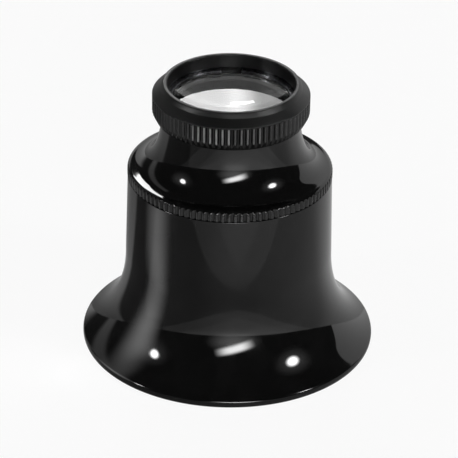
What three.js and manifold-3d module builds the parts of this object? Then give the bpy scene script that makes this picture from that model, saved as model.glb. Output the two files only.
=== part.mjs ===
// Watchmaker's eye loupe with two lenses: a flared eyecup, a neck cap that screws into it and a
// lens ring that screws into the neck. Millimetres, +Z up from the eye rim to the front lens,
// with the origin at the centre of the flat eye rim.

import * as THREE from "three";
import { mergeGeometries, mergeVertices, toCreasedNormals } from "three/addons/utils/BufferGeometryUtils.js";
import Module from "manifold-3d";

const wasm = await Module();
wasm.setup();

// Clearances that every fit shares
const SEAT_GAP = 0.05; // between two faces that bear on each other
const SCREW_GAP = 0.1; // radial play of a thread
const LENS_GAP = 0.1; // radial play round a lens and what lies beside it
const CUT_OVERRUN = 0.5; // how far a cutter reaches past what it cuts

// Lenses: two plano-convex glasses with their curved sides face to face
const LENS_CURVATURE = 20.7; // radius of the curved side
const LENS_EDGE = 0.9; // glass thickness at the edge
const LENS_BEVEL = 0.15;
const FRONT_LENS_RADIUS = 7.45;
const REAR_LENS_RADIUS = 7.9;

// Lens ring: the knurled cell of the front lens
const RING_HEIGHT = 4.47; // above its seat on the neck
const RING_WALL = 1.88; // from the lens bore to the knurled grip
const RING_OVERHANG = 0.59; // how far its foot stands out past the neck
const RING_FOOT_HEIGHT = 0.93; // the tapered foot under the grip
const RING_GRIP_HEIGHT = 2.13;
const RING_SCREW_RADIUS = 7.3;
const RING_SCREW_LENGTH = 3.5;
const RING_SKIRT_WALL = 0.8;
const RING_LIP_WALL = 0.67; // from the lens bore to the outside of the lip
const RING_LIP_ROUND = 0.12;
const RING_MOUTH_RELIEF = 0.1; // the mouth is this much wider than the lens bore
const RING_MOUTH_DEPTH = 2.35; // from the lip down to the flat of the front lens
const RING_SHOULDER = 0.12; // plain step between the grip and the cone above it
const RING_LEAD = 0.25; // chamfer at the end of the screw
const CONE_KNEE_RADIUS_SHARE = 0.74;
const CONE_KNEE_HEIGHT_SHARE = 0.57;
const GRIP_GROOVES = 80;
const GRIP_GROOVE_DEPTH = 0.26;
const GRIP_GROOVE_WIDTH = 0.52;

// Split spring ring that holds the front lens down
const CLIP_HEIGHT = 0.45;
const CLIP_WIDTH = 0.75;
const CLIP_GROOVE_DEPTH = 0.35;
const CLIP_SPLIT = 2.6;

// Neck cap: the trumpet-shaped shoulder with its finely knurled rim
const CAP_HEIGHT = 7.66; // above its seat on the eyecup
const CAP_RIM_HEIGHT = 0.87;
const CAP_RIM_PROUD = 0.03; // the rim stands this far outside the top of the barrel
const CAP_EDGE_WIDTH = 0.6; // rounded edge between the rim and the trumpet
const CAP_EDGE_HEIGHT = 0.42;
const CAP_SCREW_RADIUS = 11.0;
const CAP_SCREW_LENGTH = 4.0;
const CAP_SKIRT_WALL = 1.1;
const CAP_LEAD = 0.3;
const CAP_LEDGE = 1.2; // thickness of the ledge between the two lenses
const CAP_LEDGE_RADIUS = 6.6;
const NECK_WALL = 0.97;
const NECK_CORE_DEPTH = 0.55; // boss face above the seat of the cap, seen from below
const TRUMPET_LIFT = 0.18; // rise of the trumpet where it leaves the rounded edge
const TRUMPET_FOOT_SHARE = 0.67;
const TRUMPET_NECK_SHARE = 0.51;
const RIM_TEETH = 104;
const RIM_GROOVE_DEPTH = 0.14;
const RIM_GROOVE_WIDTH = 0.4;

// Aperture stop between the lenses
const STOP_THICKNESS = 0.3;
const STOP_HOLE_RADIUS = 5.8;
const STOP_KNIFE_WIDTH = 0.3; // bevel round the hole

// Threaded ring that holds the rear lens up
const RETAINER_HEIGHT = 1.3;
const RETAINER_WIDTH = 1.4;
const RETAINER_STEP = 0.35; // its thread is this much wider than the lens pocket
const RETAINER_SLOT_WIDTH = 1.0;
const RETAINER_SLOT_DEPTH = 0.6;

// Eyecup: the flared shell that is held in the eye socket
const CUP_HEIGHT = 22.15;
const CUP_WALL = 1.27; // round the screw at the top
const CUP_TAPER = 0.25; // the barrel narrows by this much towards its top
const CUP_STEP = 0.2; // the bore below the screw is this much tighter
const CUP_WAIST_HEIGHT = 12.1; // the flare ends and the barrel starts here
const CUP_FLARE_WALL = 1.55;
const SCREW_RUNOUT = 0.5; // room below the end of a screw
const EYE_RIM_RADIUS = 18.0;
const EYE_RIM_EDGE_DEPTH = 0.23; // half axes of the rounded outer edge
const EYE_RIM_EDGE_HEIGHT = 0.48;
const EYE_RIM_FACE = 1.2; // width of the flat ring that rests on the face or the bench
const FLARE_LIFT = 1.65; // rise of the flare where it leaves the rim
const FLARE_RIM_SHARE = 0.52;
const FLARE_WAIST_SHARE = 0.53;

// Facets of each turned surface and of each curve
const CUP_FACETS = 60;
const CAP_FACETS = 52;
const RING_FACETS = 80;
const LENS_FACETS = 40;
const TRIM_FACETS = 40;
const FLARE_STEPS = 10;
const TRUMPET_STEPS = 9;
const EDGE_STEPS = 4;
const LENS_STEPS = 6;
const EDGE_SWEEP = THREE.MathUtils.degToRad(76); // where a rounded edge hands over to its curve
const CREASE_ANGLE = THREE.MathUtils.degToRad(25);

// Radii and heights that follow from the sizes above
const lensBoreRadius = FRONT_LENS_RADIUS + LENS_GAP;
const gripRadius = lensBoreRadius + RING_WALL;
const ringSkirtRadius = RING_SCREW_RADIUS - RING_SKIRT_WALL;
const neckBoreRadius = RING_SCREW_RADIUS + SCREW_GAP;
const neckRadius = neckBoreRadius + NECK_WALL;
const clipGrooveRadius = lensBoreRadius + CLIP_GROOVE_DEPTH;
const frontLensTop = RING_HEIGHT - RING_MOUTH_DEPTH;
const clipBottom = frontLensTop + SEAT_GAP;
const ledgeTop = CAP_HEIGHT + SEAT_GAP - RING_SCREW_LENGTH - STOP_THICKNESS - 2 * SEAT_GAP;
const ledgeBottom = ledgeTop - CAP_LEDGE;
const pocketRadius = REAR_LENS_RADIUS + LENS_GAP;
const retainerBoreRadius = pocketRadius + RETAINER_STEP;
const rearLensFlat = ledgeBottom - SEAT_GAP - lensRise(REAR_LENS_RADIUS, CAP_LEDGE_RADIUS) - LENS_EDGE;
const retainerTop = rearLensFlat - SEAT_GAP;
const cupBoreRadius = CAP_SCREW_RADIUS + SCREW_GAP;
const cupTopRadius = cupBoreRadius + CUP_WALL;
const cupWaistRadius = cupTopRadius + CUP_TAPER;
const rimRadius = cupTopRadius + CAP_RIM_PROUD;

// How far the curved side of a lens drops between the axis and a radius.
function lensSag(radius) {
  return LENS_CURVATURE - Math.sqrt(LENS_CURVATURE ** 2 - radius ** 2);
}

// How far the curved side rises from the edge of a lens to a smaller radius.
function lensRise(edgeRadius, radius) {
  return lensSag(edgeRadius) - lensSag(radius);
}

// Points of a cubic curve in (radius, height), both ends included.
function curvePoints(start, startPull, endPull, end, steps) {
  const curve = new THREE.CubicBezierCurve(
    new THREE.Vector2(...start),
    new THREE.Vector2(...startPull),
    new THREE.Vector2(...endPull),
    new THREE.Vector2(...end),
  );
  return curve.getPoints(steps).map((p) => [p.x, p.y]);
}

// Points of an elliptical edge round a centre, from one angle to another.
function edgePoints([centreRadius, centreHeight], halfWidth, halfHeight, from, to, steps) {
  return Array.from({ length: steps + 1 }, (_, i) => {
    const angle = from + ((to - from) * i) / steps;
    return [centreRadius + halfWidth * Math.cos(angle), centreHeight + halfHeight * Math.sin(angle)];
  });
}

// Turns a profile of (radius, height) points about the Z axis. A profile off the axis closes
// on itself.
function revolve(profile, facets) {
  const points = profile.map(([radius, height]) => new THREE.Vector2(radius, height));
  const onAxis = points[0].x === 0 && points.at(-1).x === 0;
  if (THREE.ShapeUtils.area(points) < 0) points.reverse();
  if (!onAxis) points.push(points[0].clone());
  return new THREE.LatheGeometry(points, facets).rotateX(Math.PI / 2);
}

function toSolid(geometry) {
  const bare = new THREE.BufferGeometry();
  bare.setAttribute("position", geometry.getAttribute("position"));
  bare.setIndex(geometry.getIndex());
  const merged = mergeVertices(bare);
  return new wasm.Manifold(
    new wasm.Mesh({
      numProp: 3,
      vertProperties: merged.getAttribute("position").array,
      triVerts: new Uint32Array(merged.getIndex().array),
    }),
  );
}

function toGeometry(solid) {
  const { vertProperties, triVerts } = solid.getMesh();
  const geometry = new THREE.BufferGeometry();
  geometry.setAttribute("position", new THREE.BufferAttribute(vertProperties, 3));
  geometry.setIndex(new THREE.BufferAttribute(triVerts, 1));
  return toCreasedNormals(geometry, CREASE_ANGLE);
}

function cut(geometry, cutter) {
  return toGeometry(toSolid(geometry).subtract(toSolid(cutter)));
}

// A ring of upright V-shaped cutters, one for each groove of a straight knurl.
function grooveCutters({ count, radius, depth, width, bottom, height }) {
  const reach = depth + CUT_OVERRUN;
  const halfWidth = (width / 2) * (reach / depth);
  const outline = new THREE.Shape([
    new THREE.Vector2(radius - depth, 0),
    new THREE.Vector2(radius + CUT_OVERRUN, -halfWidth),
    new THREE.Vector2(radius + CUT_OVERRUN, halfWidth),
  ]);
  const one = new THREE.ExtrudeGeometry(outline, { depth: height, bevelEnabled: false });
  one.translate(0, 0, bottom);
  const pitch = (2 * Math.PI) / count;
  const turned = (i) => one.clone().rotateZ(pitch * (i + 1 / 2));
  return mergeGeometries(Array.from({ length: count }, (_, i) => turned(i)));
}

function makeMesh(name, geometry, material, height = 0) {
  const mesh = new THREE.Mesh(geometry, material);
  mesh.name = name;
  mesh.position.z = height;
  return mesh;
}

function blackPlastic() {
  return new THREE.MeshStandardMaterial({ color: 0x0c0c0d, roughness: 0.12, metalness: 0 });
}

function clearGlass() {
  const look = { color: 0xeef3f4, roughness: 0, metalness: 0, transparent: true, opacity: 0.35 };
  return new THREE.MeshStandardMaterial(look);
}

function blackenedMetal() {
  return new THREE.MeshStandardMaterial({ color: 0x141414, roughness: 0.6, metalness: 0.8 });
}

function springSteel() {
  return new THREE.MeshStandardMaterial({ color: 0x2a2b2d, roughness: 0.3, metalness: 1 });
}

// Flare from a rim point in to the waist. The outer and the inner skin share its shape.
function flarePoints([rimPointRadius, rimPointHeight], waistRadius) {
  const pull = (rimPointRadius - waistRadius) * FLARE_RIM_SHARE;
  return curvePoints(
    [rimPointRadius, rimPointHeight],
    [rimPointRadius - pull, rimPointHeight + FLARE_LIFT],
    [waistRadius, CUP_WAIST_HEIGHT * (1 - FLARE_WAIST_SHARE)],
    [waistRadius, CUP_WAIST_HEIGHT],
    FLARE_STEPS,
  );
}

function makeEyecup() {
  const edgeCentre = [EYE_RIM_RADIUS - EYE_RIM_EDGE_DEPTH, EYE_RIM_EDGE_HEIGHT];
  const edge = edgePoints(
    edgeCentre,
    EYE_RIM_EDGE_DEPTH,
    EYE_RIM_EDGE_HEIGHT,
    -Math.PI / 2,
    EDGE_SWEEP,
    EDGE_STEPS + 2,
  );
  const outside = flarePoints(edge.at(-1), cupWaistRadius);
  const rimInside = [EYE_RIM_RADIUS - EYE_RIM_EDGE_DEPTH - EYE_RIM_FACE, 0];
  const inside = flarePoints(rimInside, cupWaistRadius - CUP_FLARE_WALL);
  const screwFloor = CUP_HEIGHT - CAP_SCREW_LENGTH - SCREW_RUNOUT;
  const profile = [
    ...edge,
    ...outside.slice(1),
    [cupTopRadius, CUP_HEIGHT],
    [cupBoreRadius + CAP_LEAD, CUP_HEIGHT],
    [cupBoreRadius, CUP_HEIGHT - CAP_LEAD],
    [cupBoreRadius, screwFloor],
    [cupBoreRadius - CUP_STEP, screwFloor],
    ...inside.reverse(),
  ];
  return makeMesh("eyecup", revolve(profile, CUP_FACETS), blackPlastic());
}

// Outside of the neck cap from its rim to the top of the neck.
function trumpetPoints() {
  const edgeCentre = [rimRadius - CAP_EDGE_WIDTH, CAP_RIM_HEIGHT];
  const edge = edgePoints(edgeCentre, CAP_EDGE_WIDTH, CAP_EDGE_HEIGHT, 0, EDGE_SWEEP, EDGE_STEPS);
  const [footRadius, footHeight] = edge.at(-1);
  const curve = curvePoints(
    [footRadius, footHeight],
    [footRadius - (footRadius - neckRadius) * TRUMPET_FOOT_SHARE, footHeight + TRUMPET_LIFT],
    [neckRadius, CAP_HEIGHT - (CAP_HEIGHT - footHeight) * TRUMPET_NECK_SHARE],
    [neckRadius, CAP_HEIGHT],
    TRUMPET_STEPS,
  );
  return [...edge, ...curve.slice(1)];
}

function makeNeckCap() {
  const skirtRadius = CAP_SCREW_RADIUS - CAP_SKIRT_WALL;
  const pocketTop = ledgeBottom - lensRise(pocketRadius, CAP_LEDGE_RADIUS);
  const profile = [
    [rimRadius, 0],
    ...trumpetPoints(),
    [neckBoreRadius, CAP_HEIGHT],
    [neckBoreRadius, ledgeTop],
    [CAP_LEDGE_RADIUS, ledgeTop],
    [CAP_LEDGE_RADIUS, ledgeBottom],
    [pocketRadius, pocketTop],
    [pocketRadius, retainerTop],
    [retainerBoreRadius, retainerTop],
    [retainerBoreRadius, -NECK_CORE_DEPTH],
    [skirtRadius, -NECK_CORE_DEPTH],
    [skirtRadius, -CAP_SCREW_LENGTH],
    [CAP_SCREW_RADIUS - CAP_LEAD, -CAP_SCREW_LENGTH],
    [CAP_SCREW_RADIUS, -CAP_SCREW_LENGTH + CAP_LEAD],
    [CAP_SCREW_RADIUS, 0],
  ];
  const grooves = grooveCutters({
    count: RIM_TEETH,
    radius: rimRadius,
    depth: RIM_GROOVE_DEPTH,
    width: RIM_GROOVE_WIDTH,
    bottom: -CUT_OVERRUN,
    height: CUT_OVERRUN + CAP_RIM_HEIGHT,
  });
  return makeMesh("neck_cap", cut(revolve(profile, CAP_FACETS), grooves), blackPlastic());
}

function makeLensRing() {
  const gripTop = RING_FOOT_HEIGHT + RING_GRIP_HEIGHT;
  const lipRadius = lensBoreRadius + RING_LIP_WALL;
  const mouthRadius = lensBoreRadius + RING_MOUTH_RELIEF;
  const coneFoot = gripRadius - RING_SHOULDER;
  const knee = [
    coneFoot - (coneFoot - lipRadius) * CONE_KNEE_RADIUS_SHARE,
    gripTop + (RING_HEIGHT - gripTop) * CONE_KNEE_HEIGHT_SHARE,
  ];
  const grooveTop = clipBottom + CLIP_HEIGHT + SEAT_GAP;
  const seatTop = frontLensTop - LENS_EDGE - SEAT_GAP;
  const profile = [
    [neckRadius + RING_OVERHANG, 0],
    [gripRadius, RING_FOOT_HEIGHT],
    [gripRadius, gripTop],
    [coneFoot, gripTop + RING_SHOULDER],
    knee,
    [lipRadius, RING_HEIGHT - RING_LIP_ROUND],
    [lipRadius - RING_LIP_ROUND, RING_HEIGHT],
    [mouthRadius + RING_LIP_ROUND, RING_HEIGHT],
    [mouthRadius, RING_HEIGHT - RING_LIP_ROUND],
    [mouthRadius, grooveTop],
    [clipGrooveRadius, grooveTop],
    [clipGrooveRadius, frontLensTop],
    [lensBoreRadius, frontLensTop],
    [lensBoreRadius, seatTop],
    [ringSkirtRadius, seatTop - lensRise(FRONT_LENS_RADIUS, ringSkirtRadius)],
    [ringSkirtRadius, -RING_SCREW_LENGTH],
    [RING_SCREW_RADIUS - RING_LEAD, -RING_SCREW_LENGTH],
    [RING_SCREW_RADIUS, -RING_SCREW_LENGTH + RING_LEAD],
    [RING_SCREW_RADIUS, 0],
  ];
  const grooves = grooveCutters({
    count: GRIP_GROOVES,
    radius: gripRadius,
    depth: GRIP_GROOVE_DEPTH,
    width: GRIP_GROOVE_WIDTH,
    bottom: 0,
    height: gripTop - RING_SHOULDER,
  });
  return makeMesh("lens_ring", cut(revolve(profile, RING_FACETS), grooves), blackPlastic());
}

// A plano-convex lens with its flat face up at height 0 and its curved side down.
function makeLens(name, radius, height) {
  const arcRadius = radius - LENS_BEVEL;
  const arc = Array.from({ length: LENS_STEPS + 1 }, (_, i) => {
    const r = (arcRadius * i) / LENS_STEPS;
    return [r, -LENS_EDGE - lensRise(radius, r)];
  });
  const profile = [
    ...arc,
    [radius, -LENS_EDGE + LENS_BEVEL],
    [radius, -LENS_BEVEL],
    [radius - LENS_BEVEL, 0],
    [0, 0],
  ];
  return makeMesh(name, revolve(profile, LENS_FACETS), clearGlass(), height);
}

function makeFrontLensClip() {
  const outer = clipGrooveRadius - LENS_GAP;
  const inner = outer - CLIP_WIDTH;
  const profile = [
    [inner, 0],
    [outer, 0],
    [outer, CLIP_HEIGHT],
    [inner, CLIP_HEIGHT],
  ];
  const split = new THREE.BoxGeometry(
    CLIP_WIDTH + 2 * CUT_OVERRUN,
    CLIP_SPLIT,
    CLIP_HEIGHT + 2 * CUT_OVERRUN,
  );
  split.translate(inner + CLIP_WIDTH / 2, 0, CLIP_HEIGHT / 2);
  split.rotateZ(Math.PI / 2);
  return makeMesh("front_lens_clip", cut(revolve(profile, TRIM_FACETS), split), springSteel(), clipBottom);
}

function makeApertureStop() {
  const outer = neckBoreRadius - LENS_GAP;
  const profile = [
    [outer, 0],
    [outer, STOP_THICKNESS],
    [STOP_HOLE_RADIUS + STOP_KNIFE_WIDTH, STOP_THICKNESS],
    [STOP_HOLE_RADIUS, STOP_THICKNESS / 2],
    [STOP_HOLE_RADIUS + STOP_KNIFE_WIDTH, 0],
  ];
  return makeMesh("aperture_stop", revolve(profile, TRIM_FACETS), blackenedMetal(), ledgeTop + SEAT_GAP);
}

function makeRearRetainingRing() {
  const outer = retainerBoreRadius - LENS_GAP;
  const inner = outer - RETAINER_WIDTH;
  const profile = [
    [outer, -RETAINER_HEIGHT],
    [outer, 0],
    [inner, 0],
    [inner, -RETAINER_HEIGHT],
  ];
  const slots = new THREE.BoxGeometry(
    RETAINER_SLOT_WIDTH,
    2 * (outer + CUT_OVERRUN),
    RETAINER_SLOT_DEPTH + CUT_OVERRUN,
  );
  slots.translate(0, 0, -RETAINER_HEIGHT + (RETAINER_SLOT_DEPTH - CUT_OVERRUN) / 2);
  const geometry = cut(revolve(profile, TRIM_FACETS), slots);
  return makeMesh("rear_retaining_ring", geometry, blackenedMetal(), retainerTop);
}

// The lens ring with the front lens and its spring ring, from the seat of the ring up.
function makeRingGroup() {
  const group = new THREE.Group();
  group.add(makeLensRing());
  group.add(makeLens("front_lens", FRONT_LENS_RADIUS, frontLensTop));
  group.add(makeFrontLensClip());
  return group;
}

// The neck cap with the stop, the rear lens and its ring, from the seat of the cap up.
function makeCapGroup() {
  const group = new THREE.Group();
  const rearLens = makeLens("rear_lens", REAR_LENS_RADIUS, rearLensFlat);
  rearLens.rotation.x = Math.PI;
  group.add(makeNeckCap());
  group.add(makeApertureStop());
  group.add(rearLens);
  group.add(makeRearRetainingRing());
  return group;
}

const loupe = new THREE.Group();
const capGroup = makeCapGroup();
const ringGroup = makeRingGroup();
capGroup.position.z = CUP_HEIGHT + SEAT_GAP;
ringGroup.position.z = CAP_HEIGHT + SEAT_GAP;
capGroup.add(ringGroup);
loupe.add(makeEyecup());
loupe.add(capGroup);

export default loupe;
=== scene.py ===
import logging
import math
from abc import ABC, abstractmethod
from dataclasses import dataclass, field
from enum import Enum
from typing import Any, Protocol, Sequence, Union

import bmesh
import bpy
import numpy as np
from mathutils import Matrix, Vector


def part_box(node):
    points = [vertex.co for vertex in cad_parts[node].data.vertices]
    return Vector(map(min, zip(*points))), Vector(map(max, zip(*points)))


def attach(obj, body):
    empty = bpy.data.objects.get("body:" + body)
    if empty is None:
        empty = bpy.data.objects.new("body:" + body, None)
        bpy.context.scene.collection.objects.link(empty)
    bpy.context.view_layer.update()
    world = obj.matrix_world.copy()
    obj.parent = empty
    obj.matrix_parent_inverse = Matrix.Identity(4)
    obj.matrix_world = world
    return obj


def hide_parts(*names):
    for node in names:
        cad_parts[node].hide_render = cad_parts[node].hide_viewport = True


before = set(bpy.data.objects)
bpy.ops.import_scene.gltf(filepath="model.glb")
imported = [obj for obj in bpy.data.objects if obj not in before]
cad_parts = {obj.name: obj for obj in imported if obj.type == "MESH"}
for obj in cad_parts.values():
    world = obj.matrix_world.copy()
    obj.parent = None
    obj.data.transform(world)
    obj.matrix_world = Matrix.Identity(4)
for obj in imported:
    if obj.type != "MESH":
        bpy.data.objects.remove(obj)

LOG = logging.getLogger("loupe")
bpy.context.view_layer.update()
MM = 0.001
FULL_TURN = 2 * math.pi

# Clearances between pieces, in millimetres.
SEAT_GAP = 0.05
LENS_GAP = 0.1

# A fillet has so many stretches, and a mesh row stands that share further out on each side. The arc
# takes up to a share of the shorter straight, and its outer rows may pass that by a factor. From a
# half angle on, a corner counts as straight, and under a radius, a section ends on the axis.
FILLET_STEPS = 5
SUPPORT_SHARE = 0.4
STRAIGHT_SHARE = 0.45
SUPPORT_LIMIT = 1.05
NEARLY_STRAIGHT = math.radians(88)
POLE_RADIUS = 1e-9

Pair = tuple[float, float]
Triple = tuple[float, float, float]
Colour = tuple[float, float, float, float]
Term = Union["Wire", float]


class Slot(Enum):
    """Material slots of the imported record."""

    PLASTIC = "black_plastic"
    GLASS = "optical_glass"
    STEEL = "spring_steel"
    BLACKENED = "blackened_metal"


class Edge(float, Enum):
    """Radius of a turned edge in millimetres, from a knife edge to a moulded knee."""

    KNIFE = 0.01
    GROUND = 0.02
    CUT = 0.03
    BROKEN = 0.04
    EASED = 0.05
    SOFT = 0.06
    BLUNT = 0.08
    MOULDED = 0.09
    TURNED = 0.1
    ROUND = 0.12
    FULL = 0.2
    KNEE = 0.35


class Wire:
    """One value in a node tree. Arithmetic on it adds Math nodes."""

    def __init__(self, graph: "Graph", socket: bpy.types.NodeSocket) -> None:
        """Wraps an output socket of a graph."""
        self.graph = graph
        self.socket = socket

    def _math(self, operation: str, first: Term, second: Term) -> "Wire":
        """Adds a Math node on two values."""
        return self.graph.node("ShaderNodeMath", {"operation": operation}, {0: first, 1: second})

    def __add__(self, other: Term) -> "Wire":
        """self + other."""
        return self._math("ADD", self, other)

    def __radd__(self, other: Term) -> "Wire":
        """other + self."""
        return self._math("ADD", other, self)

    def __sub__(self, other: Term) -> "Wire":
        """self - other."""
        return self._math("SUBTRACT", self, other)

    def __rsub__(self, other: Term) -> "Wire":
        """other - self."""
        return self._math("SUBTRACT", other, self)

    def __mul__(self, other: Term) -> "Wire":
        """self * other."""
        return self._math("MULTIPLY", self, other)

    def __rmul__(self, other: Term) -> "Wire":
        """other * self."""
        return self._math("MULTIPLY", other, self)

    def __truediv__(self, other: Term) -> "Wire":
        """self / other."""
        return self._math("DIVIDE", self, other)

    def __rtruediv__(self, other: Term) -> "Wire":
        """other / self."""
        return self._math("DIVIDE", other, self)

    def at_least(self, floor: Term) -> "Wire":
        """The larger of this value and another."""
        return self._math("MAXIMUM", self, floor)

    def at_most(self, ceiling: Term) -> "Wire":
        """The smaller of this value and another."""
        return self._math("MINIMUM", self, ceiling)

    def ramp(self, low: float, high: float) -> "Wire":
        """A smooth step from 0 at one value to 1 at another, which may be the smaller of the two."""
        settings = {"interpolation_type": "SMOOTHSTEP"}
        return self.graph.node("ShaderNodeMapRange", settings, {0: self, 1: low, 2: high})


class Graph:
    """A node tree that is built from expressions."""

    def __init__(self, tree: bpy.types.NodeTree) -> None:
        """Clears the tree of a material or of the world and takes it over."""
        self.tree = tree
        tree.nodes.clear()

    def node(
        self,
        kind: str,
        settings: dict[str, Any] | None = None,
        inputs: dict[Any, Any] | None = None,
        out: str | int = 0,
    ) -> Wire:
        """Adds a node.

        Args:
            kind: The node's type.
            settings: Attributes to set first, such as the operation of a Math node.
            inputs: Values or Wires by socket name or number.
            out: Name or number of the output to return.

        Returns:
            The chosen output as a Wire.
        """
        made = self.tree.nodes.new(kind)
        for name, value in (settings or {}).items():
            setattr(made, name, value)
        for key, value in (inputs or {}).items():
            if isinstance(value, Wire):
                self.tree.links.new(value.socket, made.inputs[key])
            else:
                made.inputs[key].default_value = value
        return Wire(self, made.outputs[out] if len(made.outputs) else None)

    def show(self, surface: Wire, output: str = "ShaderNodeOutputMaterial") -> None:
        """Gives a shader to the output of the tree."""
        self.node(output, inputs={"Surface": surface})

    def object_point(self) -> Wire:
        """The point on the surface in the object's own frame, in metres."""
        return self.node("ShaderNodeTexCoord", out="Object")

    def ray(self, kind: str) -> Wire:
        """1 for rays of one kind, such as Is Camera Ray, otherwise 0."""
        return self.node("ShaderNodeLightPath", out=kind)

    def emission(self, strength: Term) -> Wire:
        """White light of that strength."""
        return self.node("ShaderNodeEmission", inputs={"Color": grey(1.0), "Strength": strength})

    def clear(self) -> Wire:
        """A shader that lets everything through."""
        return self.node("ShaderNodeBsdfTransparent")

    def split(self, vector: Wire) -> tuple[Wire, ...]:
        """The X, Y and Z of a vector."""
        outputs = self.node("ShaderNodeSeparateXYZ", inputs={0: vector}).socket.node.outputs
        return tuple(Wire(self, outputs[axis]) for axis in range(3))

    def stretched(self, point: Wire, scale: Triple) -> Wire:
        """A point with each axis scaled, for noise that is drawn out along one of them."""
        return self.node("ShaderNodeVectorMath", {"operation": "MULTIPLY"}, {0: point, 1: scale})

    def reach(self, point: Wire) -> Wire:
        """Distance of a point from the Z axis."""
        flat = self.stretched(point, (1.0, 1.0, 0.0))
        return self.node("ShaderNodeVectorMath", {"operation": "LENGTH"}, {0: flat}, out="Value")

    def azimuth(self, point: Wire) -> Wire:
        """Direction of a point round the Z axis.

        Args:
            point: The point, in metres.

        Returns:
            The direction in degrees, 0 towards the camera and positive to the right.
        """
        x, y, _ = self.split(point)
        turn = self.node("ShaderNodeMath", {"operation": "ARCTAN2"}, {0: x, 1: 0.0 - y})
        return turn * (180 / math.pi)

    def noise(self, point: Wire, per_metre: float, detail: float = 2.0) -> Wire:
        """Smooth noise from 0 to 1, with so many waves in a metre and octaves on top of the first."""
        inputs = {"Vector": point, "Scale": per_metre, "Detail": detail}
        return self.node("ShaderNodeTexNoise", inputs=inputs, out="Fac")

    def blend(self, share: Wire, first: Colour, second: Colour) -> Wire:
        """A colour between two colours, the first one where the share is 0."""
        inputs = {0: share, 6: first, 7: second}
        return self.node("ShaderNodeMix", {"data_type": "RGBA"}, inputs, out=2)

    def bump(self, height: Wire, distance: float) -> Wire:
        """A normal tilted by a height, with so many metres between height 0 and height 1."""
        inputs = {"Height": height, "Distance": distance, "Strength": 1.0}
        return self.node("ShaderNodeBump", inputs=inputs)


def grey(level: float) -> Colour:
    """A neutral colour of that linear brightness."""
    return (level, level, level, 1.0)


def new_material(name: str) -> tuple[bpy.types.Material, Graph]:
    """Starts a material with an empty tree.

    Args:
        name: The material's name.

    Returns:
        The material and its graph.
    """
    made = bpy.data.materials.new(name)
    made.use_nodes = True
    return made, Graph(made.node_tree)


@dataclass(frozen=True)
class Finish(ABC):
    """What a piece is made of. Wires carry what changes over its surface into the shader."""

    name: str

    @abstractmethod
    def sockets(self, graph: Graph, point: Wire) -> dict[str, Any]:
        """What goes into the shader.

        Args:
            graph: The graph of the material.
            point: The point on the surface, in metres.

        Returns:
            Constants and Wires by socket name.
        """

    def material(self) -> bpy.types.Material:
        """Makes the material.

        Returns:
            The material, ready for a piece.
        """
        made, graph = new_material(self.name)
        inputs = self.sockets(graph, graph.object_point())
        graph.show(graph.node("ShaderNodeBsdfPrincipled", inputs=inputs))
        return made


@dataclass(frozen=True)
class Hill:
    """A stretch of azimuth, in degrees, in which something is stronger or weaker."""

    azimuth: float
    half_width: float
    soft: float
    rise: float

    def at(self, azimuth: Wire) -> Wire:
        """How much the stretch adds in a direction.

        Args:
            azimuth: The direction, in degrees.

        Returns:
            The amount as a Wire.
        """
        low = self.azimuth - self.half_width
        high = self.azimuth + self.half_width
        return azimuth.ramp(low, low + self.soft) * azimuth.ramp(high, high - self.soft) * self.rise


@dataclass(frozen=True)
class CrestWearAndHighlight:
    """Crests of a knurl that handling has dulled, partly worn lighter and partly carrying a painted
    highlight where they face the front lamps, and the satin face above them.

    Sizes in millimetres. The wear and its painted highlight reach a depth below the crests and set in
    between two distances under the top of the knurl. The face begins between two shares of the radius.
    """

    radius: float
    top: float
    # Colour of the worn crests, which also carries the painted highlight.
    tone: float = 0.2
    roughness: float = 0.3
    least: float = 0.07
    # Stretches of azimuth where a painted highlight lightens the crests that face the front lamps.
    lit_sides: tuple[Hill, ...] = (Hill(-13.3, 16.2, 2.5, 0.9), Hill(14.0, 12.0, 3.0, 0.36))
    depth: float = 0.07
    fade: Pair = (0.05, 0.13)
    patch_per_metre: float = 900.0
    patch_span: Pair = (0.0, 0.5)
    face_roughness: float = 0.0
    face_shares: Pair = (0.802, 0.808)

    def masks(self, graph: Graph, point: Wire) -> tuple[Wire, Wire]:
        """Where the crests are worn and carry the painted highlight, and where the satin face lies.

        Args:
            graph: The graph of the material.
            point: The point on the surface, in metres.

        Returns:
            The wear with its painted highlight and the face, each as a Wire from 0 to 1.
        """
        _, _, height = graph.split(point)
        below = height.ramp((self.top - self.fade[0]) * MM, (self.top - self.fade[1]) * MM)
        reach = graph.reach(point)
        crest = reach.ramp((self.radius - self.depth) * MM, self.radius * MM)
        azimuth = graph.azimuth(point)
        # Wear on every crest, plus a painted highlight on the crests that face the front lamps.
        strength = self.least
        for side in self.lit_sides:
            strength = strength + side.at(azimuth)
        patches = graph.noise(point, self.patch_per_metre).ramp(*self.patch_span)
        inner, outer = (share * self.radius * MM for share in self.face_shares)
        return crest * strength * patches * below, (1 - below) * reach.ramp(inner, outer)


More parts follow.
